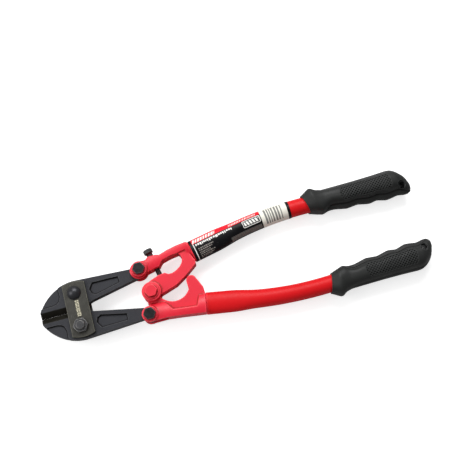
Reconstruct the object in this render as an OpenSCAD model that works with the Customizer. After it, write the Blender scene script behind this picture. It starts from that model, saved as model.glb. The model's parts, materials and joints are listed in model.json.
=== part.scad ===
// Compound bolt cutters, 350 mm class: two forged blades between two side plates,
// two cast handle heads with an adjusting screw, tubular handles and rubber grips.
// X runs from the blades to the grips, Y across the handles and Z up.
// The origin is under the middle of the tool, on the surface that it lies on.

/* [Pivots] */
// Distance between the two blade pivots
blade_pitch = 30.5; // [30.2:0.1:31]
// Distance from the blade pivots to the blade tail pivots, along X
tail_x = 61.35; // [61:0.05:62]
// Distance of each blade tail pivot from the middle, along Y
tail_y = 21.2; // [21:0.05:21.4]
// Place of the main handle pivot along X
main_x = 67.5; // [67:0.1:68]
// Place of the main handle pivot along Y
main_y = -1.8; // [-2.2:0.1:-1.4]

/* [Blades] */
// Distance from the blade pivots to the blade tips
tip_reach = 34.5; // [33:0.5:36]
// Thickness of each blade and its tail arm
blade_t = 9.4; // [9:0.1:9.6]
// Radius of the round back of each blade
back_r = 39; // [38.5:0.5:40]
// Gap between the cutting edges with the handles as drawn
edge_gap = 0.04; // [0.04:0.02:0.2]
// Thickness of each side plate
plate_t = 3.5; // [3:0.1:3.8]
// Width of each side plate along X
plate_w = 20.4; // [19:0.2:21]

/* [Handle heads] */
// Thickness of the thick ribs of the heads
rib_t = 17; // [16:0.5:17.5]
// Thickness of the upper head's web
upper_web_t = 13.5; // [12.5:0.5:14]
// Thickness of the lower head's web and pivot lug
lug_t = 9; // [8:0.2:9]
// Angle at which the upper tube leaves its head
upper_angle = 11.5; // [11.2:0.1:11.8]
// Angle at which the lower tube leaves its head
lower_angle = 9.6; // [9.3:0.1:9.9]

/* [Handles] */
// Outer diameter of the round part of the tubes
tube_d = 15.8; // [15.5:0.1:16]
// Wall of the tubes
tube_wall = 1.8; // [1.5:0.1:2]
// Width of the flattened tube end at the head
tube_end_w = 20.4; // [20:0.1:20.8]
// Thickness of the flattened tube end at the head
tube_end_t = 12; // [11.8:0.1:12.4]
// Length of the straight part beside the head
tube_straight = 45; // [44:1:46]
// Length of the bent part, measured along the bend
tube_bent = 68; // [66:1:70]
// Angle of the tube's bend
tube_bend = 11.6; // [11.3:0.1:11.9]
// Length of the grip
grip_l = 101.5; // [100:0.5:103]
// Radius of the hanging hole in each grip
hang_r = 3; // [2.8:0.1:3.2]
// Thickness of the grip at the hanging hole
hang_t = 19; // [18:0.5:19.5]

/* [Fasteners] */
// Shank radius of the two blade pivot bolts
blade_bolt_r = 4; // [3.8:0.1:4.2]
// Shank radius of the tail bolts and of the handle pivot bolt
tail_bolt_r = 3; // [2.9:0.1:3.1]
// Shank radius of the adjusting screw
screw_r = 2.5; // [2.3:0.1:2.6]
// Height of the middle plane of the tool above the surface it lies on
mid_z = 13.3; // [13.3:0.1:14]

/* [Hidden] */

$fn = 64;
eps = 0.01;
steel = [0.15, 0.16, 0.19];
plate_steel = [0.25, 0.25, 0.24];
black = [0.05, 0.05, 0.05];
red = [0.80, 0.05, 0.07];

// The blade pivots lie at x = 0 of the drawing; middle is the drawing's own middle on the floor
middle = [145.6, 2.7];
blade_y = blade_pitch / 2;
upper_tail = [tail_x, tail_y];
lower_tail = [tail_x, -tail_y];
main_pivot = [main_x, main_y];

// Fits
run = 0.05;             // radial clearance of a shaft that turns in a hole
open_pivot_play = 1.35; // radial play of the one joint where the linkage is opened
side_play = 0.3;        // gap on each side of a blade tail or a lug in its fork
plate_play = 0.1;       // gap between the blades and each side plate

// Blades
head_mid = [1, -12];    // middle of the round back
tail_eye_r = 6.2;
throat_x = -10;
arm_gap = 0.24;         // gap between the arms beside the pivots, which roll on each other
bevel_w = 4.5;          // width of the bevel on each side of a cutting edge
head_pocket_depth = 1.6;
arm_pocket_depth = 2;

// Forks and bosses of the heads
fork_eye_r = 7.2;
fork_slot = blade_t / 2 + side_play;
fork_half = 9.1;
lug_r = 8.2;
boss_r = 8.8;
boss_slot = lug_t / 2 + side_play;
boss_half = 9.3;
upper_start = [111, 25.55];
lower_start = [112.3, -24.15];
root_half_w = 9;
root_inner_w = 10.6;    // the upper head's root reaches further on its inner side
ear = [60.7, 20.4];
ear_r = 7.9;
slot_mouth = [76, -24.8]; // end and depth of the slot along the lower head's lower edge
rib_crown_r = 16;
tang = [26, 14, 6.8];   // length, width and thickness of the tangs in the tubes

// Adjusting screw
screw_tip = [78.25, 12.1];
screw_lean = 13;
screw_shank = 19.9;
knob_from = 22.8;
knob_to = 27;
knob_r = 4.4;

// Fasteners
plate_top = blade_t / 2 + plate_play + plate_t;
head_h = 4;
nut_h = 3.6;
af_m6 = 10;
af_m8 = 12;             // small series

// Tube centre line and sections
sides = 32;
bend_r = tube_bent / (tube_bend * PI / 180);
into_grip = 76;
bend_from = tube_straight;
bend_to = tube_straight + tube_bent;
label_from = 0.9;
label_to = bend_from + 8 * tube_bent / 10;
// How much of the flattened end's shape is left along the tube
flattening = [[0, 1], [27, 0.93], [33, 0.7], [42, 0.32], [50, 0.2], [75, 0.04], [85, 0]];
stations = concat([0, label_from, 12, 20, 27, 33, 39, bend_from],
                  [for (i = [1:10]) bend_from + i * tube_bent / 10], [bend_to + into_grip]);

// ---------- Helpers ----------

module slab(half) {
    translate([0, 0, -half]) linear_extrude(2 * half) children();
}

module place(at) {
    translate([at[0] - middle[0], at[1] - middle[1], mid_z]) children();
}

// A hexagon measured across its flats
module hexagon(af, h) {
    cylinder(r = af / sqrt(3), h = h, $fn = 6);
}

module hex_bolt(r, top, bottom, af) {
    translate([0, 0, top]) intersection() {
        hexagon(af, head_h);
        cylinder(r1 = af / 2 + head_h * 1.6, r2 = af / 2, h = head_h);
    }
    shank(r, bottom, top);
}

module shank(r, from, to) {
    chamfer = 0.5;
    translate([0, 0, from + chamfer]) cylinder(r = r, h = to - from - chamfer + eps);
    translate([0, 0, from]) cylinder(r1 = r - chamfer, r2 = r, h = chamfer);
}

module nut(r, af, h) {
    difference() {
        intersection() {
            hexagon(af, h);
            cylinder(r1 = af / 2, r2 = af / 2 + h * 1.6, h = h);
        }
        translate([0, 0, -1]) cylinder(r = r + run, h = h + 2);
    }
}

// ---------- Blades and side plates ----------

module jaw_outline() {
    tip = [-tip_reach, edge_gap / 2 + 0.05];
    intersection() {
        translate(head_mid) circle(r = back_r, $fn = 160);
        polygon([tip, [tip[0] + 1, 6.5], [tip[0] + 1, 30], [1, 30], [1, arm_gap / 2],
                 [throat_x, edge_gap / 2]]);
    }
    // The tail arm, which ends inside its eye
    polygon([[0, arm_gap / 2], [14, 4.9], [57.2, 13.8], upper_tail - [0, tail_eye_r], upper_tail,
             upper_tail + [0, tail_eye_r], [55.5, 23.9], [30, 25.4], [1, 27], [0, 27]]);
    translate(upper_tail) circle(r = tail_eye_r);
}

module head_pocket() {
    polygon([[-14.2, 28], [-13.7, 16], [-15.2, 11.8], [-17.6, 9.8], [-22, 8.8], [-36, 8.8],
             [-36, 28]]);
}

module arm_pocket() {
    polygon([[13.5, 15.6], [17, 21], [41, 20.6], [41.5, 14.8], [18.4, 9.6], [15, 11.2]]);
}

module jaw(tail_hole) {
    difference() {
        slab(blade_t / 2) jaw_outline();
        for (side = [0, 1]) mirror([0, 0, side]) {
            translate([0, 0, blade_t / 2 - head_pocket_depth]) linear_extrude(blade_t) head_pocket();
            translate([0, 0, blade_t / 2 - arm_pocket_depth]) linear_extrude(blade_t) arm_pocket();
        }
        // Bevels on both faces meet at the cutting edge
        for (side = [0, 1]) mirror([0, 0, side]) {
            translate([-tip_reach - 5, 0, 0]) rotate([90, 0, 90])
                linear_extrude(tip_reach + 5 + throat_x)
                polygon([[0, -edge_gap / 2], [0, blade_t / 2 + 1], [bevel_w + 1.3, blade_t / 2 + 1]]);
        }
        translate([0, blade_y, -blade_t]) cylinder(r = blade_bolt_r + run, h = 2 * blade_t);
        translate([tail_x, tail_y, -blade_t]) cylinder(r = tail_hole, h = 2 * blade_t);
    }
}

module upper_jaw() {
    color(steel) place([0, 0]) jaw(tail_bolt_r + open_pivot_play);
}

module lower_jaw() {
    color(steel) place([0, 0]) mirror([0, 1, 0]) jaw(tail_bolt_r + run);
}

module side_plate() {
    round_r = 25.6;
    difference() {
        linear_extrude(plate_t) intersection() {
            translate([0.6, 0]) circle(r = round_r, $fn = 120);
            translate([0.6 - plate_w / 2, -round_r]) square([plate_w, 2 * round_r]);
        }
        for (side = [-1, 1]) translate([0, side * blade_y, -1])
            cylinder(r = blade_bolt_r + run, h = plate_t + 2);
    }
}

module top_side_plate() {
    color(plate_steel) place([0, 0]) translate([0, 0, blade_t / 2 + plate_play]) side_plate();
}

module bottom_side_plate() {
    color(plate_steel) place([0, 0]) translate([0, 0, -plate_top]) side_plate();
}

// The bolt with its round head up
module blade_bolt(stick_out) {
    dome_r = 6.5;
    dome_h = 4.2;
    ball_r = (dome_r * dome_r + dome_h * dome_h) / (2 * dome_h);
    translate([0, 0, plate_top]) intersection() {
        translate([0, 0, dome_h - ball_r]) sphere(r = ball_r);
        cylinder(r = dome_r, h = dome_h);
    }
    shank(blade_bolt_r, -plate_top - nut_h - stick_out, plate_top);
}

module upper_jaw_bolt() {
    color(steel) place([0, blade_y]) blade_bolt(0.9);
}

module lower_jaw_bolt() {
    color(steel) place([0, -blade_y]) mirror([0, 0, 1]) blade_bolt(2.2);
}

module blade_nut() {
    translate([0, 0, plate_top + nut_h]) mirror([0, 0, 1]) nut(blade_bolt_r, af_m8, nut_h);
}

module upper_jaw_nut() {
    color(steel) place([0, blade_y]) mirror([0, 0, 1]) blade_nut();
}

module lower_jaw_nut() {
    color(steel) place([0, -blade_y]) blade_nut();
}

// ---------- Handle heads ----------

// The thick rib of the upper head: fork block, thin spring arm and tube root
module upper_rib_outline() {
    polygon([[61.35, 28.4], [68.5, 27.9], [71.4, 30.4], [79, 30.4], [82, 29.4], [90, 32.0],
             [99, 33.9], [107.5, 34.9], root_point(root_half_w), root_point(-root_inner_w),
             [112.2, 13.2], [109.2, 14.6], [105.9, 28.2], [97.5, 26.6], [92.2, 25.9], [88, 24.9],
             [83.4, 23.6], [81.2, 21.2], [79.8, 19.2], [75.8, 18.5], [66.6, 16.4], [61.35, 14]]);
    translate(ear) circle(r = ear_r);
}

// Points of the roots, where the tubes begin, at a distance from each tube's middle
function root_point(across) = upper_start + across * [-sin(upper_angle), cos(upper_angle)];
function low_root_point(across) = lower_start + across * [sin(lower_angle), cos(lower_angle)];

// The web of the upper head: the arm that carries the main pivot
module upper_web_outline() {
    polygon([[98.5, 27.5], [100.6, 24.4], [101.4, 21], [100.2, 17.4], [97.4, 14.2], [93.8, 11.8],
             [89.6, 10.2], [86.2, 10.2], [83, 12.2], [76.5, 11.3], [69.5, 8.8], [63, 5.6],
             [67.5, -9.5], [73.9, -6.7], [81.7, -4.3], [91.1, -1.3], [99.8, 3.9], [106.9, 9.1],
             [112.6, 13.4], root_point(-root_inner_w) + [-0.5, 1.5], [106.5, 29]]);
    translate(main_pivot) circle(r = boss_r);
}

// Crowned bar along a line, as thick as the ribs
module crowned_bar(at, angle, length, half) {
    intersection_for (side = [-1, 1])
        translate([at[0], at[1], -side * (rib_crown_r - half)]) rotate([0, 90, angle])
            translate([0, 0, -20]) cylinder(r = rib_crown_r, h = length + 40, $fn = 96);
}

module screw_axis() {
    translate([screw_tip[0], screw_tip[1], 0]) rotate([-90, 0, screw_lean]) children();
}

module tang_at(at, angle) {
    translate([at[0], at[1], 0]) rotate([0, 0, angle]) translate([-1, 0, 0]) rotate([90, 0, 90])
        linear_extrude(tang[0] + 1) union() {
            square([tang[1] - tang[2], tang[2]], center = true);
            for (side = [-1, 1]) translate([side * (tang[1] - tang[2]) / 2, 0])
                circle(r = tang[2] / 2);
        }
}

module upper_handle_head() {
    color(red) place([0, 0]) difference() {
        union() {
            intersection() {
                slab(rib_t / 2) upper_rib_outline();
                crowned_bar([58, 20.8], 13, 60, rib_t / 2);
            }
            slab(upper_web_t / 2) upper_web_outline();
            translate([tail_x, tail_y, -fork_half]) cylinder(r = fork_eye_r, h = 2 * fork_half);
            translate([main_x, main_y, -boss_half]) cylinder(r = boss_r, h = 2 * boss_half);
            tang_at(upper_start, upper_angle);
        }
        // Forks for the blade tail and for the lower head's lug
        translate([tail_x, tail_y, -fork_slot]) cylinder(r = 10, h = 2 * fork_slot);
        translate([main_x, main_y, -boss_slot]) cylinder(r = lug_r + 1, h = 2 * boss_slot);
        for (at = [upper_tail, main_pivot]) translate([at[0], at[1], -20])
            cylinder(r = tail_bolt_r + run, h = 40);
        screw_axis() cylinder(r = screw_r + run, h = 24);
    }
}

module lower_rib_outline() {
    polygon([[61.35, -28.4], [76, -28.2], [89, -29.8], low_root_point(-root_half_w),
             low_root_point(root_half_w), [108.6, -14.9], [104.2, -25.2],
             [82.5, -22.4], [74.2, -9.8], [67, -10.5], [61.6, -13.4]]);
    translate(lower_tail) circle(r = fork_eye_r);
}

// The web of the lower head: pivot lug, round cut-out and stop finger
module lower_web_outline() {
    loop_mid = [87.1, 0.5];
    loop_r = 15.5;
    finger_mid = [104.6, -0.1];
    difference() {
        polygon([[62, -7], [61.6, -13.4], [66, -24], [82, -27], [104, -29],
                 low_root_point(-root_half_w) + [-1, 3], low_root_point(root_half_w), [113.6, -9],
                 [109.6, 0], [100.5, -1], [70, -1]]);
        translate(loop_mid) circle(r = loop_r, $fn = 96);
    }
    translate(finger_mid) circle(r = 4.6);
    polygon([[100, 0], [100.2, -8.2], [104, -10], [108, -6], [109.2, 0]]);
    translate(main_pivot) circle(r = lug_r);
}

module lower_handle_head() {
    color(red) place([0, 0]) difference() {
        union() {
            difference() {
                union() {
                    intersection() {
                        slab(rib_t / 2) lower_rib_outline();
                        crowned_bar([58, -22.4], -4, 60, rib_t / 2);
                    }
                    translate([tail_x, -tail_y, -fork_half])
                        cylinder(r = fork_eye_r, h = 2 * fork_half);
                }
                // Only the lug reaches between the upper head's ears
                for (side = [0, 1]) mirror([0, 0, side]) translate([main_x, main_y, lug_t / 2])
                    cylinder(r = boss_r + 1, h = 20);
                translate([main_x - 20, main_y + 2, -20]) cube([40, 20, 40]);
            }
            slab(lug_t / 2) lower_web_outline();
            tang_at(lower_start, -lower_angle);
        }
        translate([tail_x, -tail_y, -fork_slot]) cylinder(r = 8.6, h = 2 * fork_slot);
        translate([tail_x, slot_mouth[1] - 10, -fork_slot])
            cube([slot_mouth[0] - tail_x, 10, 2 * fork_slot]);
        for (at = [lower_tail, main_pivot]) translate([at[0], at[1], -20])
            cylinder(r = tail_bolt_r + run, h = 40);
    }
}

module tail_bolt() {
    hex_bolt(tail_bolt_r, fork_half, -fork_half - nut_h - 0.6, af_m6);
}

module nut_below(half) {
    translate([0, 0, -half - nut_h]) nut(tail_bolt_r, af_m6, nut_h);
}

module upper_tail_bolt() {
    color(black) place(upper_tail) tail_bolt();
}

module lower_tail_bolt() {
    color(black) place(lower_tail) tail_bolt();
}

module upper_tail_nut() {
    color(black) place(upper_tail) nut_below(fork_half);
}

module lower_tail_nut() {
    color(black) place(lower_tail) nut_below(fork_half);
}

module handle_pivot_bolt() {
    flange_h = 1;
    color(red) place(main_pivot) {
        translate([0, 0, boss_half]) cylinder(r = 6.9, h = flange_h);
        translate([0, 0, flange_h]) hex_bolt(tail_bolt_r, boss_half, -boss_half - nut_h - 1.2, af_m6);
    }
}

module handle_pivot_nut() {
    color(red) place(main_pivot) nut_below(boss_half);
}

module adjusting_screw() {
    color(black) place([0, 0]) screw_axis() {
        shank(screw_r, 0, screw_shank);
        translate([0, 0, screw_shank]) cylinder(r = screw_r + 0.5, h = knob_from - screw_shank);
        difference() {
            translate([0, 0, knob_from]) cylinder(r = knob_r, h = knob_to - knob_from);
            for (i = [0:19]) rotate([0, 0, i * 18]) translate([knob_r + 0.15, 0, knob_from - 1])
                cylinder(r = 0.45, h = 8, $fn = 4);
        }
    }
}

// ---------- Tubes, label and grips ----------

// Place and direction of the tube's centre line after a length s
function bend_at(s) = max(0, min(1, (s - bend_from) / tube_bent)) * tube_bend;
function path_at(s) =
    s <= bend_from ? [s, 0]
    : [bend_from, 0] + bend_r * [sin(bend_at(s)), cos(bend_at(s)) - 1]
        + max(0, s - bend_to) * [cos(tube_bend), -sin(tube_bend)];

// Half width and half thickness of the tube after a length s, grown by g
function half_w(s, g) = tube_d / 2 + lookup(s, flattening) * (tube_end_w - tube_d) / 2 + g;
function half_t(s, g) = tube_d / 2 + lookup(s, flattening) * (tube_end_t - tube_d) / 2 + g;

function section(s, g) = [for (i = [0:sides - 1])
    let (a = i * 360 / sides, across = half_w(s, g) * cos(a), b = bend_at(s), at = path_at(s))
    [at[0] + across * sin(b), at[1] + across * cos(b), half_t(s, g) * sin(a)]];

// Closed faces of a pipe whose points are the outer rings, then the inner rings
function pipe_faces(rings, n) =
    let (inner = rings * n)
    concat(
        [for (r = [0:rings - 2], i = [0:n - 1]) let (j = (i + 1) % n)
            each [[r * n + i, r * n + j, (r + 1) * n + j], [r * n + i, (r + 1) * n + j, (r + 1) * n + i]]],
        [for (r = [0:rings - 2], i = [0:n - 1]) let (j = (i + 1) % n)
            each [[inner + r * n + i, inner + (r + 1) * n + j, inner + r * n + j],
                  [inner + r * n + i, inner + (r + 1) * n + i, inner + (r + 1) * n + j]]],
        [for (i = [0:n - 1]) let (j = (i + 1) % n)
            each [[i, inner + j, j], [i, inner + i, inner + j]]],
        [for (i = [0:n - 1]) let (j = (i + 1) % n, last = (rings - 1) * n)
            each [[last + i, last + j, inner + last + j], [last + i, inner + last + j, inner + last + i]]]
    );

module pipe(along, out, in) {
    polyhedron(
        points = concat([for (s = along) each section(s, out)], [for (s = along) each section(s, in)]),
        faces = pipe_faces(len(along), sides));
}

module upper_side() {
    place(upper_start) rotate([0, 0, upper_angle]) children();
}

module lower_side() {
    place(lower_start) mirror([0, 1, 0]) rotate([0, 0, lower_angle]) children();
}

module tube() {
    pipe(stations, 0, -tube_wall);
}

module upper_tube() {
    color(red) upper_side() tube();
}

module lower_tube() {
    color(red) lower_side() tube();
}

module label_wrap() {
    color(black) upper_side()
        pipe([for (s = stations) if (s >= label_from && s <= label_to + eps) s], 0.25, 0.02);
}

// Outer side, inner side and half thickness of the grip after a length u
grip_from = 2.2;
grip_outer = [[grip_from, 9.2], [11.4, 14.9], [15.5, 11.6], [20.6, 10.5], [50, 10.9], [69, 11.6], [83, 12.5],
              [87.5, 12.2], [91, 10.6], [94.5, 7.9], [97.5, 4.6], [99.8, 1], [grip_l, -5]];
grip_inner = [[grip_from, 9.2], [7, 10.6], [15, 12.8], [22, 10.9], [28, 10.9], [39.5, 13.2], [44, 12.7],
              [50, 11.9], [60.5, 14.1], [63.5, 13.8], [68.7, 12.7], [77.5, 15], [82, 14.5], [89, 13.2],
              [95, 14.4], [99, 14.4], [grip_l, 12.6]];
grip_half = [[grip_from, 9.2], [10, 12.4], [14, 11.6], [20, 10.6], [50, 12.4], [82, 12.9], [90, 11.8],
             [97, 8.8], [100.5, 6], [grip_l, 4]];
grip_stations = [grip_from, 4, 8, 10, 13, 16, 20, 24, 28, 34, 40, 45, 50, 55, 60, 65, 70, 75, 80, 84,
                 88, 91, 94, 97, 99, 100.5, grip_l];
grip_sides = 28;
squareness = 2.5;

function rounded(c) = sign(c) * pow(abs(c), 2 / squareness);
function grip_ring(u) = [for (i = [0:grip_sides - 1])
    let (a = i * 360 / grip_sides, out = lookup(u, grip_outer), low = -lookup(u, grip_inner),
         v = (out + low) / 2 + (out - low) / 2 * rounded(cos(a)),
         lean = u < 25 ? (25 - u) / 25 * 3 : 0)
    [u - v / 10 * lean, v, lookup(u, grip_half) * rounded(sin(a))]];

module grip_body() {
    n = grip_sides;
    rings = len(grip_stations);
    polyhedron(
        points = [for (u = grip_stations) each grip_ring(u)],
        faces = concat(
            [[for (i = [n - 1:-1:0]) i], [for (i = [0:n - 1]) (rings - 1) * n + i]],
            [for (r = [0:rings - 2], i = [0:n - 1]) let (j = (i + 1) % n)
                each [[r * n + i, r * n + j, (r + 1) * n + j],
                      [r * n + i, (r + 1) * n + j, (r + 1) * n + i]]]));
}

module grip() {
    hang_at = [93.5, -6.5];
    end = path_at(bend_to);
    translate([end[0], end[1], 0]) rotate([0, 0, -tube_bend]) difference() {
        grip_body();
        rotate([0, 90, 0]) translate([0, 0, -5]) cylinder(r = tube_d / 2, h = into_grip + 5.5);
        translate([hang_at[0], hang_at[1], -20]) cylinder(r = hang_r, h = 40);
        for (side = [0, 1]) mirror([0, 0, side]) translate([hang_at[0], hang_at[1], hang_t / 2])
            cylinder(r = hang_r + 1.4, h = 20);
    }
}

module upper_grip() {
    color(black) upper_side() grip();
}

module lower_grip() {
    color(black) lower_side() grip();
}

upper_jaw();
lower_jaw();
top_side_plate();
bottom_side_plate();
upper_jaw_bolt();
lower_jaw_bolt();
upper_jaw_nut();
lower_jaw_nut();
upper_handle_head();
lower_handle_head();
upper_tail_bolt();
lower_tail_bolt();
upper_tail_nut();
lower_tail_nut();
handle_pivot_bolt();
handle_pivot_nut();
adjusting_screw();
upper_tube();
lower_tube();
upper_grip();
lower_grip();
label_wrap();
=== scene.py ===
import json
import math
import random

import bpy
import numpy as np
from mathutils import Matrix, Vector

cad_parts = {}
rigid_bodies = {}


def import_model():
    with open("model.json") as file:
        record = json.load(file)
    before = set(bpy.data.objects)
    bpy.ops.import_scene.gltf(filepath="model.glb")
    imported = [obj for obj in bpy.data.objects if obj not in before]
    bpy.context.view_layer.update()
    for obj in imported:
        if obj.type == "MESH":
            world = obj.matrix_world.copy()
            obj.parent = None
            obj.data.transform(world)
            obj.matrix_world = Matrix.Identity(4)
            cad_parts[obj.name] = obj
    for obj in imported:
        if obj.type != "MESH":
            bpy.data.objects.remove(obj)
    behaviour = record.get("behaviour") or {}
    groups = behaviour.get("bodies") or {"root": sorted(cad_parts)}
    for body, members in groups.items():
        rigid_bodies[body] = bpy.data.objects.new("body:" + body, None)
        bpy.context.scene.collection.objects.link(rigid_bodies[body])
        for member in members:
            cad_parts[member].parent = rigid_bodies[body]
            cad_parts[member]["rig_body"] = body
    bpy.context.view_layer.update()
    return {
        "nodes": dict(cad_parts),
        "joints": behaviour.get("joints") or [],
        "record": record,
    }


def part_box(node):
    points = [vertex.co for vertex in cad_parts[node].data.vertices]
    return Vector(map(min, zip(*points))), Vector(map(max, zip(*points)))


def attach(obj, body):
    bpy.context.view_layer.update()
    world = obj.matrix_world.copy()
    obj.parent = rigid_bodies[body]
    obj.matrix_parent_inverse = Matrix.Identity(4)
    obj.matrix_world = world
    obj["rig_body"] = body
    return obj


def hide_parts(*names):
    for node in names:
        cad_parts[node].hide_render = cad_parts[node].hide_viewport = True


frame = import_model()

MM = 0.001
SCENE = bpy.context.scene
JOINT_AT = {j["name"]: Vector(j["pos_m"]) for j in frame["joints"]}
# Middle of the two blade pivots, on the tool's middle plane: drawing coordinates start here
ORIGIN = (JOINT_AT["upper_blade_pivot"] + JOINT_AT["lower_blade_pivot"]) / 2


def at(x, y, z=0.0):
    """A point of the drawing, in millimetres, as a point of the frame."""
    return ORIGIN + Vector((x, y, z)) * MM


# ---------- Camera ----------

CAMERA_ELEVATION = math.radians(76)
CAMERA_HEADING = math.radians(74.77)
CAMERA_DISTANCE = 0.732
CAMERA_LENS = 60
SENSOR_WIDTH = 36
CAMERA_AIM = at(155.8, 28.0)


def make_camera():
    data = bpy.data.cameras.new("camera")
    data.lens = CAMERA_LENS
    data.sensor_width = SENSOR_WIDTH
    camera = bpy.data.objects.new("camera", data)
    SCENE.collection.objects.link(camera)
    level = math.cos(CAMERA_ELEVATION)
    forward = Vector((level * math.cos(CAMERA_HEADING), level * math.sin(CAMERA_HEADING),
                      -math.sin(CAMERA_ELEVATION)))
    camera.location = CAMERA_AIM - forward * CAMERA_DISTANCE
    camera.rotation_mode = "QUATERNION"
    camera.rotation_quaternion = forward.to_track_quat("-Z", "Y")
    SCENE.camera = camera


make_camera()

# ---------- Floor and light ----------

FLOOR_HALF = 12.0
FLOOR_GREY = (0.62, 0.62, 0.62, 1)
FLOOR_GLOW = 0.69
WHITE = (1, 1, 1, 1)
WORLD_STRENGTH = 0.27


def put(tree, kind, inputs=None, **settings):
    """Adds a shader node. Input values that are sockets are linked, the others are set."""
    made = tree.nodes.new("ShaderNode" + kind)
    for key, value in settings.items():
        setattr(made, key, value)
    for key, value in (inputs or {}).items():
        if isinstance(value, bpy.types.NodeSocket):
            tree.links.new(value, made.inputs[key])
        else:
            made.inputs[key].default_value = value
    return made


def maths(tree, operation, first, second):
    return put(tree, "Math", {0: first, 1: second}, operation=operation).outputs[0]


def new_material(name, **constants):
    """A material with its Principled shader; constants are set on the shader's own sockets."""
    material = bpy.data.materials.new(name)
    material.use_nodes = True
    shader = material.node_tree.nodes["Principled BSDF"]
    for key, value in constants.items():
        shader.inputs[key.replace("_", " ")].default_value = value
    return material, material.node_tree, shader


def make_floor():
    half = FLOOR_HALF
    mesh = bpy.data.meshes.new("floor")
    corners = [(-half, -half, 0), (half, -half, 0), (half, half, 0), (-half, half, 0)]
    mesh.from_pydata(corners, [], [(0, 1, 2, 3)])
    floor = bpy.data.objects.new("floor", mesh)
    SCENE.collection.objects.link(floor)
    material, tree, shader = new_material("floor_white", Roughness=0.6, Specular_IOR_Level=0.2)
    shader.inputs["Base Color"].default_value = FLOOR_GREY
    # The sweep is over-exposed where it is seen, and grey in what it throws back on the tool
    shader.inputs["Emission Color"].default_value = WHITE
    seen = put(tree, "LightPath").outputs["Is Camera Ray"]
    tree.links.new(maths(tree, "MULTIPLY", seen, FLOOR_GLOW), shader.inputs["Emission Strength"])
    mesh.materials.append(material)


def area_light(name, place, size, watts):
    """A rectangular softbox aimed at the middle of the tool."""
    data = bpy.data.lights.new(name, "AREA")
    data.shape = "RECTANGLE"
    data.size, data.size_y = size
    data.energy = watts
    lamp = bpy.data.objects.new(name, data)
    SCENE.collection.objects.link(lamp)
    lamp.location = place
    lamp.rotation_mode = "QUATERNION"
    lamp.rotation_quaternion = (-Vector(place)).to_track_quat("-Z", "Y")


def make_light():
    world = bpy.data.worlds.new("studio")
    world.use_nodes = True
    background = world.node_tree.nodes["Background"]
    background.inputs["Color"].default_value = WHITE
    background.inputs["Strength"].default_value = WORLD_STRENGTH
    SCENE.world = world
    SCENE.view_settings.view_transform = "Standard"
    area_light("softbox_back", place=(0.1, 0.75, 0.85), size=(0.9, 0.6), watts=13.0)
    area_light("softbox_left", place=(-0.8, 0.1, 0.7), size=(0.6, 0.8), watts=5.0)


make_floor()
make_light()

# ---------- Materials ----------

# The two colour sockets of a Mix node
MIX_A, MIX_B = 6, 7
# How far grain moves the border of an edge mask: worn edges, and on red paint thin paint with a
# painted highlight
RAGGED = 0.25
TONE = {
    "cast_dark": (0.66, 0.008, 0.026), "cast_light": (0.78, 0.012, 0.038),
    "tube_dark": (0.60, 0.005, 0.008), "tube_light": (0.70, 0.007, 0.011),
    "thin_red_and_highlight": (0.90, 0.045, 0.07), "red_corner_shade": (0.46, 0.003, 0.008),
    "red_speck": (0.25, 0.01, 0.01),
    "forged_dark": (0.020, 0.021, 0.025), "forged_light": (0.036, 0.037, 0.043),
    "forged_grain": (0.045, 0.046, 0.052), "forged_worn": (0.085, 0.085, 0.088),
    "forged_corner_shade": (0.004, 0.004, 0.005),
    "ground_dark": (0.010, 0.009, 0.006), "ground_light": (0.022, 0.020, 0.015),
    "plate_dark": (0.034, 0.033, 0.028), "plate_light": (0.060, 0.058, 0.050),
    "scratch": (0.20, 0.195, 0.175), "cross_scratch": (0.24, 0.23, 0.20),
    "plate_worn": (0.16, 0.155, 0.12),
    "pivot_dark": (0.045, 0.045, 0.048), "pivot_light": (0.075, 0.075, 0.078),
    "pivot_worn": (0.22, 0.215, 0.205),
    "dome_dark": (0.024, 0.024, 0.028), "dome_light": (0.042, 0.042, 0.047),
    "black_dark": (0.010, 0.010, 0.011), "black_light": (0.020, 0.020, 0.021),
    "black_worn": (0.12, 0.12, 0.12),
    "rubber_dark": (0.010, 0.011, 0.011), "rubber_light": (0.018, 0.019, 0.018),
    "rubber_edge": (0.036, 0.038, 0.038), "rubber_corner_shade": (0.001, 0.001, 0.001),
    "scuff": (0.55, 0.54, 0.52), "etch_dark": (0.30, 0.28, 0.20), "etch_light": (0.66, 0.62, 0.46),
}


def coordinates(tree):
    return put(tree, "TexCoord").outputs["Object"]


def noise(tree, place, size, detail=4.0, roughness=0.55, stretch=None):
    """Noise from 0 to 1 whose blobs are about size millimetres across."""
    if stretch:
        place = put(tree, "Mapping", {"Vector": place, "Scale": stretch}).outputs[0]
    made = put(tree, "TexNoise", {"Vector": place, "Scale": 1 / (size * MM), "Detail": detail,
                                  "Roughness": roughness})
    return made.outputs[0]


def ramp(tree, value, low, high, to_low=0.0, to_high=1.0):
    """Eases value's stretch from low to high into one from to_low to to_high."""
    made = put(tree, "MapRange", {"Value": value, "From Min": low, "From Max": high,
                                  "To Min": to_low, "To Max": to_high},
               interpolation_type="SMOOTHSTEP")
    return made.outputs[0]


def mix(tree, factor, first, second):
    made = put(tree, "Mix", {"Factor": factor}, data_type="RGBA")
    for socket, value in ((made.inputs[MIX_A], first), (made.inputs[MIX_B], second)):
        if isinstance(value, bpy.types.NodeSocket):
            tree.links.new(value, socket)
        else:
            socket.default_value = (*value, 1)
    return made.outputs[2]


def finish_material(tree, shader, colour, roughness, height, depth):
    """Links the colour, the roughness and a relief of about depth millimetres to the shader."""
    relief = put(tree, "Bump", {"Height": height, "Distance": depth * MM}).outputs[0]
    for socket, value in (("Base Color", colour), ("Roughness", roughness), ("Normal", relief)):
        tree.links.new(value, shader.inputs[socket])


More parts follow.
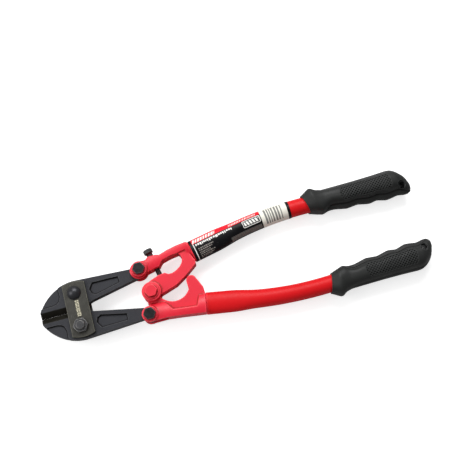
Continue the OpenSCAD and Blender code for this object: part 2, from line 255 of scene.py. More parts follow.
def edge(tree, low, high, grain):
    """1 on sharp outer edges and 0 elsewhere, with a ragged border."""
    value = put(tree, "Attribute", attribute_name="edge").outputs["Fac"]
    ragged = maths(tree, "MULTIPLY_ADD", grain, RAGGED)
    ragged.node.inputs[2].default_value = -RAGGED / 2
    return ramp(tree, maths(tree, "ADD", value, ragged), low, high)


def painted_corner_shade(tree, low, high):
    """1 deep in sharp inner corners and 0 elsewhere: the mask of painted shade in corners."""
    value = put(tree, "Attribute", attribute_name="edge").outputs["Fac"]
    return ramp(tree, maths(tree, "MULTIPLY", value, -1.0), low, high)


def red_paint(name, dark, light, lump=0.012, coat=0.12, gloss=0.4):
    """Semi-gloss enamel: slight tone drift, orange peel, thin paint with a painted highlight on
    edges, painted shade in corners.
    """
    material, tree, shader = new_material(name, Metallic=0.0, Coat_Weight=coat,
                                          Coat_Roughness=0.25, Specular_IOR_Level=gloss)
    place = coordinates(tree)
    drift = noise(tree, place, 26, 3)
    fine = noise(tree, place, 2.2, 3)
    colour = mix(tree, drift, dark, light)
    # Convex edges go a lighter pink: partly thin paint, partly a painted highlight
    thin_paint_and_highlight = edge(tree, 0.10, 0.5, noise(tree, place, 1.1))
    colour = mix(tree, thin_paint_and_highlight, colour, TONE["thin_red_and_highlight"])
    # Inner corners go deep red: painted shade
    colour = mix(tree, painted_corner_shade(tree, 0.01, 0.17), colour, TONE["red_corner_shade"])
    specks = ramp(tree, noise(tree, place, 0.9, 2, 0.7), 0.70, 0.78)
    colour = mix(tree, maths(tree, "MULTIPLY", specks, 0.35), colour, TONE["red_speck"])
    height = maths(tree, "ADD", maths(tree, "MULTIPLY", noise(tree, place, 5.5, 2), 2.0), fine)
    finish_material(tree, shader, colour, ramp(tree, fine, 0.25, 0.75, 0.40, 0.54), height, lump)
    return material


def forged_steel(name):
    """Oxide-blackened forging: bluish, rough, browner on the ground bevels, worn on the edges."""
    material, tree, shader = new_material(name, Metallic=0.5, Specular_IOR_Level=0.3)
    place = coordinates(tree)
    cloud = noise(tree, place, 14, 4)
    grain = noise(tree, place, 0.55, 4, 0.7)
    colour = mix(tree, cloud, TONE["forged_dark"], TONE["forged_light"])
    colour = mix(tree, ramp(tree, grain, 0.35, 0.75), colour, TONE["forged_grain"])
    worn = edge(tree, 0.25, 0.75, noise(tree, place, 1.6))
    colour = mix(tree, maths(tree, "MULTIPLY", worn, 0.5), colour, TONE["forged_worn"])
    # Inner corners and pocket borders go nearly black: painted shade
    colour = mix(tree, painted_corner_shade(tree, 0.03, 0.22), colour, TONE["forged_corner_shade"])
    ground = put(tree, "Attribute", attribute_name="ground").outputs["Fac"]
    bevel = mix(tree, cloud, TONE["ground_dark"], TONE["ground_light"])
    colour = mix(tree, ground, colour, bevel)
    height = maths(tree, "ADD", maths(tree, "MULTIPLY", grain, 0.6), noise(tree, place, 2.4, 3))
    finish_material(tree, shader, colour, ramp(tree, cloud, 0.3, 0.7, 0.42, 0.58), height, 0.05)
    return material


def plate_steel(name):
    """Blued plate gone olive: long fine scratches, mottling and bright worn edges."""
    material, tree, shader = new_material(name, Metallic=0.6, Specular_IOR_Level=0.45)
    place = coordinates(tree)
    cloud = noise(tree, place, 7, 4)
    long_marks = noise(tree, place, 0.35, 3, 0.7, stretch=(1.0, 0.06, 1.0))
    slant = put(tree, "Mapping", {"Vector": place, "Rotation": (0, 0, 0.9)}).outputs[0]
    cross_marks = noise(tree, slant, 0.45, 2, 0.6, stretch=(1.0, 0.05, 1.0))
    colour = mix(tree, cloud, TONE["plate_dark"], TONE["plate_light"])
    colour = mix(tree, ramp(tree, long_marks, 0.58, 0.74, 0, 0.5), colour, TONE["scratch"])
    colour = mix(tree, ramp(tree, cross_marks, 0.64, 0.76, 0, 0.5), colour,
                 TONE["cross_scratch"])
    worn = edge(tree, 0.2, 0.7, noise(tree, place, 0.9))
    colour = mix(tree, maths(tree, "MULTIPLY", worn, 0.6), colour, TONE["plate_worn"])
    height = maths(tree, "ADD", long_marks, cross_marks)
    finish_material(tree, shader, colour, ramp(tree, cloud, 0.3, 0.7, 0.38, 0.52), height, 0.02)
    return material


def fastener_steel(name, dark, light, worn_tone, smoothest):
    """Oxidised fastener steel: fine grain, mottling and worn corners."""
    material, tree, shader = new_material(name, Metallic=0.6, Specular_IOR_Level=0.5)
    place = coordinates(tree)
    cloud = noise(tree, place, 2.6, 4)
    fine = noise(tree, place, 0.3, 3, 0.7)
    colour = mix(tree, cloud, dark, light)
    worn = edge(tree, 0.3, 0.9, noise(tree, place, 0.8))
    colour = mix(tree, maths(tree, "MULTIPLY", worn, 0.7), colour, worn_tone)
    roughness = ramp(tree, cloud, 0.3, 0.7, smoothest, smoothest + 0.14)
    finish_material(tree, shader, colour, roughness, fine, 0.015)
    return material


def grip_rubber(name):
    """Black moulded rubber with a fine matt skin and a grey bloom."""
    material, tree, shader = new_material(name, Metallic=0.0, Specular_IOR_Level=0.3)
    place = coordinates(tree)
    bloom = noise(tree, place, 18, 4)
    skin = noise(tree, place, 0.25, 3, 0.7)
    colour = mix(tree, bloom, TONE["rubber_dark"], TONE["rubber_light"])
    rubbed = edge(tree, 0.15, 0.9, noise(tree, place, 0.8))
    colour = mix(tree, rubbed, colour, TONE["rubber_edge"])
    # Knurl pits and inner corners go black: painted shade
    colour = mix(tree, painted_corner_shade(tree, 0.03, 0.30), colour, TONE["rubber_corner_shade"])
    finish_material(tree, shader, colour, ramp(tree, bloom, 0.3, 0.7, 0.50, 0.62), skin, 0.03)
    return material


def label_film(name):
    """Printed film: the print is the mesh's own colour, lightly scuffed."""
    material, tree, shader = new_material(name, Metallic=0.0, Specular_IOR_Level=0.15)
    place = coordinates(tree)
    printed = put(tree, "Attribute", attribute_name="print").outputs["Color"]
    lines = noise(tree, place, 0.5, 3, 0.7, stretch=(0.2, 1.0, 1.0))
    colour = mix(tree, ramp(tree, lines, 0.62, 0.8, 0, 0.12), printed, TONE["scuff"])
    roughness = ramp(tree, noise(tree, place, 6, 2), 0.3, 0.7, 0.34, 0.46)
    finish_material(tree, shader, colour, roughness, noise(tree, place, 3, 2), 0.01)
    return material


def etched_mark(name):
    """Pale etched steel with patchy coverage."""
    material, tree, shader = new_material(name, Metallic=0.2, Specular_IOR_Level=0.4)
    place = coordinates(tree)
    patchy = noise(tree, place, 0.9, 3)
    colour = mix(tree, ramp(tree, patchy, 0.35, 0.6), TONE["etch_dark"], TONE["etch_light"])
    finish_material(tree, shader, colour, ramp(tree, patchy, 0.3, 0.7, 0.55, 0.7), patchy, 0.01)
    return material


PAINT = red_paint("red_enamel_cast", TONE["cast_dark"], TONE["cast_light"])
TUBE_PAINT = red_paint("red_enamel_tube", TONE["tube_dark"], TONE["tube_light"],
                       lump=0.004, coat=0.03, gloss=0.16)
FORGED = forged_steel("blade_forging")
PLATE = plate_steel("olive_plate")
PIVOT = fastener_steel("pivot_oxide", TONE["pivot_dark"], TONE["pivot_light"],
                       TONE["pivot_worn"], smoothest=0.30)
DOME = fastener_steel("pivot_head_oxide", TONE["dome_dark"], TONE["dome_light"],
                      TONE["black_worn"], smoothest=0.27)
BLACK = fastener_steel("black_oxide", TONE["black_dark"], TONE["black_light"],
                       TONE["black_worn"], smoothest=0.32)
RUBBER = grip_rubber("moulded_rubber")
FILM = label_film("printed_film")
ETCH = etched_mark("etched_mark")

# ---------- Mesh tools ----------

# Cutting edges: the stretch along X, the gap between them and how far Y runs per Z on a bevel
EDGE_FROM, EDGE_TO, EDGE_GAP, BEVEL_SLOPE = -34.0, -10.4, 0.04, 1.007
# Points this near a bevel's plane are drawn to it, and those this near the middle to its edge
OVER_BEVEL, UNDER_BEVEL, EDGE_SNAP = 0.45, 0.3, 0.16
# Voxel size in millimetres, smoothing rounds, and rounds that spread the worn edges
CAST = {"voxel": 0.35, "rounds": 9, "spread": 11}
FORGE = {"voxel": 0.25, "rounds": 2, "spread": 6}
TUMBLED = {"voxel": 0.22, "rounds": 2}
PAINTED_OVER = {"voxel": 0.22, "rounds": 3}
WELD_NODE = 1e-6


def set_edge_values(mesh, rounds=2):
    """Stores each point's bend per millimetre as "edge": above 0 on edges, below 0 in corners."""
    count = len(mesh.vertices)
    place = np.empty(count * 3)
    mesh.vertices.foreach_get("co", place)
    place = place.reshape(-1, 3) / MM
    normal = np.empty(count * 3)
    mesh.vertices.foreach_get("normal", normal)
    normal = normal.reshape(-1, 3)
    ends = np.empty(len(mesh.edges) * 2, np.int64)
    mesh.edges.foreach_get("vertices", ends)
    a, b = ends.reshape(-1, 2).T
    step = place[b] - place[a]
    length2 = np.maximum((step ** 2).sum(1), 1e-8)
    bend_a = -(step * normal[a]).sum(1) / length2
    bend_b = (step * normal[b]).sum(1) / length2
    links = np.maximum(np.bincount(a, minlength=count) + np.bincount(b, minlength=count), 1)
    value = (np.bincount(a, bend_a, count) + np.bincount(b, bend_b, count)) / links
    for _ in range(rounds):
        nearby = np.bincount(a, value[b], count) + np.bincount(b, value[a], count)
        value = (nearby + value) / (links + 1)
    stored = mesh.attributes.new("edge", "FLOAT", "POINT")
    stored.data.foreach_set("value", (value * 2).astype(np.float32))


def smooth_shaded(mesh):
    mesh.polygons.foreach_set("use_smooth", np.ones(len(mesh.polygons), bool))
    mesh.update()


def finish_piece(piece, material, body, slot, *nodes):
    """Gives the piece its material and body, and hides the CAD nodes it stands for."""
    piece.data.materials.clear()
    piece.data.materials.append(material)
    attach(piece, body)
    if nodes:
        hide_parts(*nodes)


def applied(piece):
    """Turns the piece's modifiers into its mesh."""
    graph = bpy.context.evaluated_depsgraph_get()
    mesh = bpy.data.meshes.new_from_object(piece.evaluated_get(graph))
    piece.modifiers.clear()
    piece.data = mesh
    return mesh


def new_piece(name, mesh):
    piece = bpy.data.objects.new(name, mesh)
    SCENE.collection.objects.link(piece)
    return piece


def softened(node, name, material, slot, voxel, rounds, spread=2):
    """The node's shape with its edges rounded as casting, forging or tumbling leaves them."""
    source = frame["nodes"][node]
    piece = new_piece(name, source.data.copy())
    weld = piece.modifiers.new("weld", "WELD")
    weld.merge_threshold = WELD_NODE
    remesh = piece.modifiers.new("remesh", "REMESH")
    remesh.mode = "VOXEL"
    remesh.voxel_size = voxel * MM
    smooth = piece.modifiers.new("smooth", "SMOOTH")
    smooth.factor = 0.5
    smooth.iterations = rounds
    mesh = applied(piece)
    smooth_shaded(mesh)
    set_edge_values(mesh, spread)
    finish_piece(piece, material, source["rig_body"], slot, node)
    return piece


def sharpened(piece, side):
    """Draws the ground bevels of a jaw back to their planes, so that they meet in a crisp edge."""
    mesh = piece.data
    place = np.empty(len(mesh.vertices) * 3)
    mesh.vertices.foreach_get("co", place)
    place = place.reshape(-1, 3)
    x, y, z = ((place - np.array(ORIGIN)) / MM * (1, side, 1)).T
    plane = (np.abs(z) + EDGE_GAP / 2) * BEVEL_SLOPE
    near = (x > EDGE_FROM) & (x < EDGE_TO)
    near = near & (y < plane + OVER_BEVEL) & (y > plane - UNDER_BEVEL)
    on_edge = near & (np.abs(z) < EDGE_SNAP)
    y = np.where(near, plane, y)
    y = np.where(on_edge, EDGE_GAP / 2 * BEVEL_SLOPE, y)
    place[:, 1] = ORIGIN.y + side * y * MM
    place[:, 2] = np.where(on_edge, ORIGIN.z, place[:, 2])
    mesh.vertices.foreach_set("co", place.ravel())
    ground = mesh.attributes.new("ground", "FLOAT", "POINT")
    ground.data.foreach_set("value", near.astype(np.float32))
    mesh.update()


def lofted(name, rings, flip=False, wrap=False):
    """A skin over rings of equal length; a ring of one point repeated closes an end."""
    rings = np.asarray(rings)
    rows, sides = rings.shape[:2]
    index = np.arange(rows * sides).reshape(rows, sides)
    if wrap:
        index = np.vstack([index, index[:1]])
    here, there = index[:-1], index[1:]
    faces = np.stack([here, np.roll(here, -1, 1), np.roll(there, -1, 1), there], -1)
    faces = faces.reshape(-1, 4)
    if flip:
        faces = faces[:, ::-1]
    mesh = bpy.data.meshes.new(name)
    mesh.from_pydata(rings.reshape(-1, 3).tolist(), [], faces.tolist())
    return mesh


def welded(name, mesh, distance=0.002):
    """A piece made of the mesh, with points nearer than distance millimetres joined."""
    piece = new_piece(name, mesh)
    weld = piece.modifiers.new("weld", "WELD")
    weld.merge_threshold = distance * MM
    mesh = applied(piece)
    mesh.validate()
    smooth_shaded(mesh)
    return piece


# ---------- Castings, forgings and fasteners ----------

softened("upper_handle_head", "upper_head_casting", PAINT, "red_paint", **CAST)
softened("lower_handle_head", "lower_head_casting", PAINT, "red_paint", **CAST)
sharpened(softened("upper_jaw", "upper_blade_forging", FORGED, "blade_steel", **FORGE), 1)
sharpened(softened("lower_jaw", "lower_blade_forging", FORGED, "blade_steel", **FORGE), -1)
for side in ("top", "bottom"):
    softened(side + "_side_plate", side + "_plate", PLATE, "plate_steel", **TUMBLED)
softened("upper_jaw_bolt", "upper_jaw_bolt_worn", DOME, "pivot_steel", **TUMBLED)
for part in ("lower_jaw_bolt", "upper_jaw_nut", "lower_jaw_nut"):
    softened(part, part + "_worn", PIVOT, "pivot_steel", **TUMBLED)
for part in ("upper_tail_bolt", "lower_tail_bolt", "upper_tail_nut", "lower_tail_nut"):
    softened(part, part + "_worn", BLACK, "black_fastener", **TUMBLED)
for part in ("handle_pivot_bolt", "handle_pivot_nut"):
    softened(part, part + "_painted", PAINT, "red_paint", **PAINTED_OVER)

# ---------- Tubes ----------

TUBE_R, TUBE_WALL, TUBE_END_W, TUBE_END_T = 7.9, 1.8, 20.4, 12.0
STRAIGHT, BENT, BEND, INTO_GRIP = 45.0, 68.0, math.radians(11.6), 76.0
BEND_R = BENT / BEND
# How much of the flattened end's shape is left along the tube
FLATTENING = np.array([[0, 1], [27, 0.93], [33, 0.7], [42, 0.32], [50, 0.2], [75, 0.04],
                       [85, 0]])
# The flattening is averaged over this far to each side, at so many places
EASE, EASE_PLACES = 5, 11
TUBE_SIDES, RING_STEP, BORE_STEP = 96, 1.5, 3.0
# Rounded lip at the tube's mouth: distance along it, and how far inside its outline
TUBE_LIP = [(0.0, -0.7), (0.1, -0.35), (0.35, -0.1)]
LIP_TO = 0.7
UPPER = {"start": (111.0, 25.55), "angle": math.radians(11.5), "flip": False}
LOWER = {"start": (112.3, -24.15), "angle": math.radians(9.6), "flip": True}


def on_side(side, points):
    """Points of a handle's own drawing, in millimetres, as points of the frame."""
    points = np.asarray(points, float)
    x, y, z = points[..., 0], points[..., 1], points[..., 2]
    c, s = math.cos(side["angle"]), math.sin(side["angle"])
    across = x * s + y * c
    if side["flip"]:
        across = -across
    placed = np.stack([side["start"][0] + x * c - y * s, side["start"][1] + across, z], -1)
    return placed * MM + np.array(ORIGIN)


def bend_at(s):
    """How far the tube has turned after s millimetres."""
    return min(1.0, max(0.0, (s - STRAIGHT) / BENT)) * BEND


def path_at(s):
    """Where the tube's axis is after s millimetres, in the handle's own drawing."""
    if s <= STRAIGHT:
        return s, 0.0
    b = bend_at(s)
    past = max(0.0, s - STRAIGHT - BENT)
    return (STRAIGHT + BEND_R * math.sin(b) + past * math.cos(b),
            BEND_R * (math.cos(b) - 1) - past * math.sin(b))


def tube_ring(s, grow, angles):
    """The tube's section at s, grown by so many millimetres."""
    around = s + np.linspace(-EASE, EASE, EASE_PLACES)
    swage = np.interp(around, FLATTENING[:, 0], FLATTENING[:, 1]).mean()
    half_w = TUBE_R + swage * (TUBE_END_W / 2 - TUBE_R) + grow
    half_t = TUBE_R + swage * (TUBE_END_T / 2 - TUBE_R) + grow
    b = bend_at(s)
    x, y = path_at(s)
    across = half_w * np.cos(angles)
    return np.stack([x + across * math.sin(b), y + across * math.cos(b),
                     half_t * np.sin(angles)], -1)


def make_tube(name, node, side, body):
    angles = np.linspace(0, 2 * math.pi, TUBE_SIDES, endpoint=False)
    length = STRAIGHT + BENT + INTO_GRIP
    outside = [(s, 0.0) for s in np.arange(LIP_TO, length, RING_STEP)]
    along = [*TUBE_LIP, *outside, (length, 0.0)]
    bore = [(s, -TUBE_WALL) for s in np.arange(length, 0, -BORE_STEP)] + [(0.0, -TUBE_WALL)]
    rings = [tube_ring(s, grow, angles) for s, grow in [*along, *bore]]
    mesh = lofted(name, on_side(side, rings), flip=side["flip"], wrap=True)
    piece = welded(name, mesh)
    set_edge_values(piece.data)
    finish_piece(piece, TUBE_PAINT, body, "red_paint", node)


make_tube("upper_tube_painted", "upper_tube", UPPER, "upper_handle")
make_tube("lower_tube_painted", "lower_tube", LOWER, "lower_handle")

# ---------- Label ----------

LABEL_FROM, LABEL_TO = 0.9, STRAIGHT + 0.8 * BENT
LABEL_SIDES, LABEL_STEP, LABEL_OUTSIDE, LABEL_INSIDE = 180, 0.25, 0.25, 0.03
INSIDE_EVERY = 6
INK = {"black": (0.003, 0.003, 0.004), "red": (0.72, 0.010, 0.025), "white": (0.86, 0.85, 0.81),
       "grey": (0.26, 0.24, 0.22), "ink": (0.20, 0.20, 0.19), "cream": (0.78, 0.76, 0.68)}
dice = random.Random(7)


def bars(start, stop, shortest, longest, gap):
    """Spans that fill a row with bars of mixed lengths."""
    spans = []
    while start < stop:
        length = dice.uniform(shortest, longest)
        spans.append((start, min(start + length, stop)))
        start += length + gap * dice.uniform(0.8, 1.3)
    return spans


TITLE = bars(6, 43, 1.0, 2.2, 0.6)
TALL_MARKS = bars(4.5, 27, 1.2, 2.2, 0.9)
HATCH = bars(41, 68, 0.5, 0.9, 0.8)
SMALL_ROWS = [bars(7, 22 - 2 * (row % 3), 0.7, 1.8, 0.5) for row in range(6)]
STRIPES = bars(75.0, 92.5, 0.9, 1.8, 1.1)
BOX = {"s": 61.6, "half_s": 8.6, "turn": 90, "half_turn": 23}
BOX_CORNER, BOX_LINE, BOX_MARGIN = 1.2, 0.6, 1.4
BOX_BAR_PITCH, BOX_BAR_GAP, BOX_BAR_SLANT = 2.9, 1.0, 0.3
MM_PER_DEGREE = 0.14
# Stretches along the tube, in millimetres, and round it, in degrees
DARK_TO, CREAM_FROM, CREAM_TO, RULE = 3.5, 71.2, 96.8, (3.8, 4.6)
STRIPE_TURNS, RED_TURNS, RULE_TO_TURN = (40, 150), (-25, 64), 190
TALL_TURNS, HATCH_TURNS, MARK_MIDDLE, MARK_SLANT = (34, 60), (40, 57), 47, 0.07
TITLE_TURNS, TITLE_RISE, TITLE_STEP = (69, 80), 4, 2.6
ROW_TURNS, ROW_PITCH = (95, 160), 11
GREY_TURNS, GREY_PITCH, GREY_ALONG = (128, 166), 7.6, (38.5, 70)


def inside(value, spans):
    return any(low <= value <= high for low, high in spans)


def between(value, span):
    return span[0] < value < span[1]


def box_ink(s, turn):
    """A rounded frame with bars inside, or None outside it."""
    out_s = abs(s - BOX["s"]) - BOX["half_s"]
    out_t = (abs(turn - BOX["turn"]) - BOX["half_turn"]) * MM_PER_DEGREE
    past = math.hypot(max(out_s + BOX_CORNER, 0), max(out_t + BOX_CORNER, 0)) - BOX_CORNER
    if past > 0:
        return None
    if max(past, out_s, out_t) > -BOX_LINE:
        return "white"
    row = (turn - BOX["turn"] + BOX["half_turn"]) * MM_PER_DEGREE
    in_bar = (s - row * BOX_BAR_SLANT) % BOX_BAR_PITCH > BOX_BAR_GAP
    return "white" if in_bar and max(out_s, out_t) < -BOX_MARGIN else "black"


def ink_at(s, turn):
    """The print at s millimetres along the tube and turn degrees round it; 90 faces up."""
    if s > CREAM_TO or s < DARK_TO:
        return "black"
    if s > CREAM_FROM:
        return "ink" if between(turn, STRIPE_TURNS) and inside(s, STRIPES) else "cream"
    if between(turn, RED_TURNS):
        slanted = s + (turn - MARK_MIDDLE) * MARK_SLANT
        tall = between(turn, TALL_TURNS) and inside(slanted, TALL_MARKS)
        hatched = between(turn, HATCH_TURNS) and inside(slanted, HATCH)
        return "white" if tall or hatched else "red"
    if RED_TURNS[1] <= turn < RULE_TO_TURN and between(s, RULE):
        return "white"
    rise = TITLE_RISE if int(s / TITLE_STEP) % 3 == 1 else 0
    if TITLE_TURNS[0] < turn < TITLE_TURNS[1] + rise and inside(s, TITLE):
        return "white"
    framed = box_ink(s, turn)
    if framed:
        return framed
    if between(turn, ROW_TURNS):
        row, part = divmod((turn - ROW_TURNS[0]) / ROW_PITCH, 1)
        if part < 0.5 and inside(s, SMALL_ROWS[int(row)]):
            return "grey"
    if between(turn, GREY_TURNS) and between(s, GREY_ALONG):
        if ((turn - GREY_TURNS[0]) / GREY_PITCH) % 1 < 0.5:
            return "grey"
    return "black"


def make_label():
    """The film round the upper tube, printed by the colours of its points."""
    sides = LABEL_SIDES
    angles = np.radians(np.arange(sides) * 360 / sides)
    along = np.arange(LABEL_FROM, LABEL_TO + LABEL_STEP / 2, LABEL_STEP)
    outer = [tube_ring(s, LABEL_OUTSIDE, angles) for s in along]
    inner = [tube_ring(s, LABEL_INSIDE, angles) for s in along[::-INSIDE_EVERY]]
    mesh = lofted("label", on_side(UPPER, outer + inner), wrap=True)
    tones = []
    for s in along:
        for i in range(sides):
            turn = (i * 360 / sides + 90) % 360 - 90
            tones.append((*INK[ink_at(s, turn)], 1.0))
    tones += [(*INK["black"], 1.0)] * (len(inner) * sides)
    stored = mesh.attributes.new("print", "FLOAT_COLOR", "POINT")
    stored.data.foreach_set("color", np.array(tones, np.float32).ravel())
    smooth_shaded(mesh)
    piece = new_piece("label_print", mesh)
    finish_piece(piece, FILM, "upper_handle", "label_film", "label_wrap")


make_label()

# ---------- Grips ----------

GRIP_FROM, GRIP_L, LEAN = 2.2, 101.5, 3.0
# The moulding is rounder than the faceted solid, so it lies this far inside its outline
GRIP_INSET = 0.38
# Distance along the grip against the distance of its outer side, its finger side and its faces
GRIP_OUTER = np.array([
    [GRIP_FROM, 9.2], [11.4, 14.9], [15.5, 11.6], [20.6, 10.5], [50, 10.9], [69, 11.6],
    [83, 12.5], [87.5, 12.2], [91, 10.6], [94.5, 7.9], [97.5, 4.6], [99.8, 1], [GRIP_L, -5]])
GRIP_INNER = np.array([
    [GRIP_FROM, 9.2], [7, 10.6], [15, 12.8], [22, 10.9], [28, 10.9], [39.5, 13.2],
    [44, 12.7], [50, 11.9], [60.5, 14.1], [63.5, 13.8], [68.7, 12.7], [77.5, 15],
    [82, 14.5], [89, 13.2], [95, 14.4], [99, 14.4], [GRIP_L, 12.6]])
GRIP_HALF = np.array([
    [GRIP_FROM, 9.2], [10, 12.4], [14, 11.6], [20, 10.6], [50, 12.4], [82, 12.9],
    [90, 11.8], [97, 8.8], [100.5, 6], [GRIP_L, 4]])
GRIP_SIDES, GRIP_STEP, SECTION_POWER, BORE_PLAY = 256, 0.32, 2.5, 0.04
# The end face stops short of the solid's, and is crowned: share of its size, and how far out
END_BACK = 0.2
END_CROWN = ((0.85, 0.04), (0.6, 0.08), (0.3, 0.09), (0.0, 0.10))
# Hanging hole, the half length of its wall, the recess round each mouth and how far cutters reach
HANG_R, HANG_HALF, RECESS_R, CUTTER_HALF = 3.0, 9.5, 4.4, 20
MOUTH_ROUND, RECESS_ROUND, CUTTER_SIDES, FINE_WELD = 0.4, 0.6, 64, 0.0005
KNURL_MID, KNURL_HALF, KNURL_PITCH, KNURL_DEPTH = 59.75, 24.25, 3.0, 1.35
# The knurled patch is a slot of this end radius, on the flat of each face
PATCH_R, PATCH_HALF, PATCH_EDGE, FLAT_FROM, FLAT_TO = 9, 11, (8.4, 9.4), 0.80, 0.86
KNURL_FLOOR, KNURL_CELL = 0.25, 0.85
# The pad is narrower than the skirt by these shares, between these distances along the grip
LEDGE_OUTER, LEDGE_INNER, LEDGE_START, LEDGE_END = 0.10, 0.31, (16, 27), (92, 101)
LEDGE_FADE, LEDGE_HEIGHT = 0.4, (0.22, 0.42)
# The collar's mouth leans by LEAN at 10 mm off the axis, and not at all from here on
LEAN_TO = 25


def eased(table, u, width=1.3):
    """The table's value at u, with its corners rounded over width to each side."""
    around = np.clip(u + np.linspace(-width, width, 9), GRIP_FROM, GRIP_L)
    return float(np.interp(around, table[:, 0], table[:, 1]).mean())


def step_up(value, low, high):
    """0 below low, 1 above high and eased between them."""
    t = np.clip((value - low) / (high - low), 0, 1)
    return t * t * (3 - 2 * t)


def superellipse(sides):
    """Evenly spaced points of a unit superellipse."""
    turn = np.linspace(0, 2 * math.pi, 2881)
    x = np.sign(np.cos(turn)) * np.abs(np.cos(turn)) ** (2 / SECTION_POWER)
    z = np.sign(np.sin(turn)) * np.abs(np.sin(turn)) ** (2 / SECTION_POWER)
    run = np.concatenate([[0], np.cumsum(np.hypot(np.diff(x), np.diff(z)))])
    wanted = np.linspace(0, run[-1], sides, endpoint=False)
    return np.interp(wanted, run, x), np.interp(wanted, run, z)


def knurl_depth(u, v, across, unit_z):
    """How deep the diamond knurl is sunk into either face."""
    past_end = max(abs(u - KNURL_MID) - KNURL_HALF + PATCH_R, 0)
    past_side = np.maximum(np.abs(across) * PATCH_HALF - 0.2, 0)
    patch = 1 - step_up(np.hypot(past_end, past_side), *PATCH_EDGE)
    patch = patch * step_up(np.abs(unit_z), FLAT_FROM, FLAT_TO)
    turn = 2 * math.pi / KNURL_PITCH
    cells = step_up(np.cos(turn * u) * np.cos(turn * v), 0.0, KNURL_CELL)
    return KNURL_DEPTH * patch * (KNURL_FLOOR + (1 - KNURL_FLOOR) * cells)


def grip_ring(u, unit_x, unit_z):
    """Section of the grip: a pad on each face that steps out to a wider skirt at the middle."""
    out, low = eased(GRIP_OUTER, u) - GRIP_INSET, GRIP_INSET - eased(GRIP_INNER, u)
    middle, half_v = (out + low) / 2, (out - low) / 2
    ledge = np.where(unit_x > 0, LEDGE_OUTER, LEDGE_INNER) * step_up(u, *LEDGE_START)
    ledge = ledge * (1 - LEDGE_FADE * step_up(u, *LEDGE_END))
    v = middle + half_v * unit_x * (1 - ledge * step_up(np.abs(unit_z), *LEDGE_HEIGHT))
    z = eased(GRIP_HALF, u) * unit_z
    z = z - np.sign(z) * knurl_depth(u, v, (v - middle) / half_v, unit_z)
    lean = max(0.0, (LEAN_TO - u) / LEAN_TO) * LEAN
    return np.stack([u - v / 10 * lean, v, z], -1)


def hole_cutter(name, place):
    """A spool that cuts the hanging hole with its two recesses."""
    upper = [(HANG_HALF - MOUTH_ROUND, HANG_R), (HANG_HALF, HANG_R + MOUTH_ROUND),
             (HANG_HALF, RECESS_R - RECESS_ROUND), (HANG_HALF + RECESS_ROUND, RECESS_R),
             (CUTTER_HALF, RECESS_R), (CUTTER_HALF, 0)]
    profile = [(-z, r) for z, r in reversed(upper)] + upper
    turn = np.linspace(0, 2 * math.pi, CUTTER_SIDES, endpoint=False)
    rings = [np.stack([r * np.cos(turn), r * np.sin(turn), np.full(CUTTER_SIDES, z)], -1)
             for z, r in profile]
    mesh = lofted(name, np.array(rings) * MM + np.array(place))
    return welded(name, mesh, FINE_WELD)


def make_grip(name, node, side, body, mount):
    """The moulding over the tube's end, with its bore and its hanging hole."""
    unit_x, unit_z = superellipse(GRIP_SIDES)
    end_x, end_y = path_at(STRAIGHT + BENT)
    turn = np.arctan2(unit_z, unit_x)
    bore_r = TUBE_R + BORE_PLAY

    def bore(u, r, lean):
        v = r * np.cos(turn)
        return np.stack([u - v / 10 * lean, v, r * np.sin(turn)], -1)

    rings = [bore(INTO_GRIP, 0.0, 0), bore(INTO_GRIP, bore_r, 0)]
    rings += [bore(u, bore_r, 0) for u in (50, 25, 8)]
    rings += [bore(GRIP_FROM + 0.9, bore_r, LEAN), bore(GRIP_FROM + 0.3, bore_r + 0.25, LEAN)]
    along = np.arange(GRIP_FROM, GRIP_L - 2 * END_BACK, GRIP_STEP)
    rings += [grip_ring(u, unit_x, unit_z) for u in along]
    last = grip_ring(GRIP_L - END_BACK, unit_x, unit_z)
    rings.append(last)
    middle = last.mean(0)
    for share, out in END_CROWN:
        rings.append(middle + (last - middle) * share + np.array([out, 0, 0]))
    rings = np.array(rings)
    c, s = math.cos(BEND), math.sin(BEND)
    x, y = rings[..., 0].copy(), rings[..., 1].copy()
    rings[..., 0] = end_x + x * c + y * s
    rings[..., 1] = end_y - x * s + y * c
    mesh = lofted(name, on_side(side, rings), flip=side["flip"])
    piece = welded(name, mesh)
    place = Vector(next(m["pos_m"] for m in frame["record"]["mounts"] if m["name"] == mount))
    cutter = hole_cutter(name + "_hole", place)
    cut = piece.modifiers.new("hole", "BOOLEAN")
    cut.operation = "DIFFERENCE"
    cut.solver = "MANIFOLD"
    cut.object = cutter
    mesh = applied(piece)
    bpy.data.objects.remove(cutter)
    smooth_shaded(mesh)
    set_edge_values(mesh)
    finish_piece(piece, RUBBER, body, "grip_rubber", node)


make_grip("upper_grip_moulding", "upper_grip", UPPER, "upper_handle", "upper_hanging_hole")
make_grip("lower_grip_moulding", "lower_grip", LOWER, "lower_handle", "lower_hanging_hole")

# ---------- Adjusting screw ----------

SCREW_TIP = (78.25, 12.1)
SCREW_LEAN = math.radians(13)
SCREW_R, SCREW_PITCH, SHANK_TO, KNOB_FROM, KNOB_TO, KNOB_R = 2.5, 0.8, 19.9, 22.8, 27.0, 4.4
THREAD_DEPTH, RIDGE_DEPTH, RIDGES, TIP_ROUND, NECK_R = 0.42, 0.45, 24, 0.6, 3.0
SCREW_SIDES, THREAD_STEP, KNOB_RINGS, CHAMFER = 120, 0.1, 16, 0.5
# Hollow in the knob's end face: distance back from it, and radius
KNOB_END = ((0.0, 3.2), (0.15, 3.0), (0.3, 2.6), (0.3, 0.0))


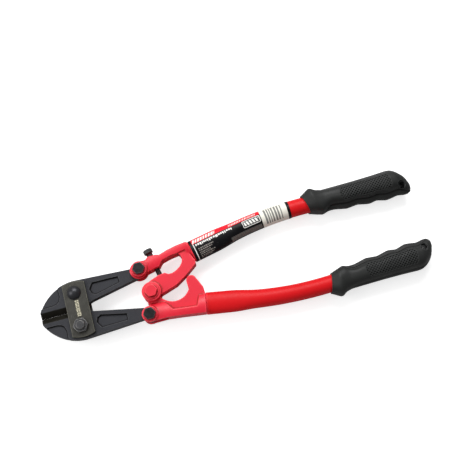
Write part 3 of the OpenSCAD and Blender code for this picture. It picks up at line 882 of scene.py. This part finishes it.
def make_screw():
    """The thumb screw from its tip: threaded shank, plain neck and ridged knob."""
    turn = np.linspace(0, 2 * math.pi, SCREW_SIDES, endpoint=False)
    c, s = math.cos(SCREW_LEAN), math.sin(SCREW_LEAN)

    def ring(t, radius):
        side_x, side_z = radius * np.cos(turn), radius * np.sin(turn)
        x = SCREW_TIP[0] + side_x * c - t * s
        y = SCREW_TIP[1] + side_x * s + t * c
        return np.stack([x, y, side_z], -1) * MM + np.array(ORIGIN)

    def thread(t):
        saw = np.abs((t / SCREW_PITCH - turn / (2 * math.pi)) % 1 - 0.5) * 2
        run_out = 1 - step_up(t, SHANK_TO - 1.5, SHANK_TO - 0.4)
        depth = THREAD_DEPTH * step_up(t, 0, 2 * TIP_ROUND) * run_out
        return SCREW_R - depth * saw - CHAMFER * (1 - step_up(t, 0, TIP_ROUND))

    def knurl(t):
        ridges = np.abs((turn * RIDGES / (2 * math.pi)) % 1 - 0.5) * 2
        edge_in = min(t - KNOB_FROM, KNOB_TO - t)
        return KNOB_R - RIDGE_DEPTH * ridges - CHAMFER * (1 - step_up(edge_in, 0, TIP_ROUND))

    neck = ((SHANK_TO, NECK_R - 0.05), (SHANK_TO + 0.1, NECK_R), (KNOB_FROM - 0.1, NECK_R))
    rings = [ring(0, 0.0)] + [ring(t, thread(t)) for t in np.arange(0, SHANK_TO, THREAD_STEP)]
    rings += [ring(t, radius) for t, radius in neck]
    rings += [ring(t, knurl(t)) for t in np.linspace(KNOB_FROM, KNOB_TO, KNOB_RINGS)]
    rings += [ring(KNOB_TO - back, radius) for back, radius in KNOB_END]
    mesh = lofted("screw", rings, flip=True)
    piece = welded("adjusting_thumb_screw", mesh, FINE_WELD)
    set_edge_values(piece.data, 1)
    finish_piece(piece, BLACK, "adjuster", "black_fastener", "adjusting_screw")


make_screw()

# ---------- Etched pattern on the top plate ----------

ETCH_FROM, ETCH_TO, ETCH_GAP, ETCH_SLANT = 7.4, -7.2, 0.42, 0.25
ETCH_PROUD, ETCH_T = 0.012, 0.03
DASH_HEIGHTS = (0.7, 1.2)
# Centre of each column, and its shortest and longest dash
COLUMNS = ((-0.9, (1.2, 1.7)), (0.95, (1.1, 1.6)))
BLOCK_FACES = ((0, 1, 2, 3), (7, 6, 5, 4), (0, 4, 5, 1), (1, 5, 6, 2), (2, 6, 7, 3), (3, 7, 4, 0))


def make_etching():
    """Two columns of short slanted dashes down the plate's middle, a little proud of the steel."""
    low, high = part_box("top_side_plate")
    top = high.z + ETCH_PROUD * MM
    middle_x = (low.x + high.x) / 2
    points, faces = [], []
    y = ETCH_FROM
    while y > ETCH_TO:
        height = dice.uniform(*DASH_HEIGHTS)
        widths = [dice.uniform(*span) for _, span in COLUMNS]
        for (column, _), width in zip(COLUMNS, widths):
            cx, cy = middle_x + column * MM, ORIGIN.y + y * MM
            half_w, half_h, slant = width / 2 * MM, height / 2 * MM, ETCH_SLANT * MM
            start = len(points)
            for z in (top, top - ETCH_T * MM):
                points += [(cx - half_w - slant, cy - half_h, z),
                           (cx + half_w - slant, cy - half_h, z),
                           (cx + half_w + slant, cy + half_h, z),
                           (cx - half_w + slant, cy + half_h, z)]
            faces += [tuple(start + i for i in face) for face in BLOCK_FACES]
        y -= height + ETCH_GAP
    mesh = bpy.data.meshes.new("etching")
    mesh.from_pydata(points, [], faces)
    piece = new_piece("etched_dashes", mesh)
    finish_piece(piece, ETCH, "side_plates", "plate_steel")


make_etching()
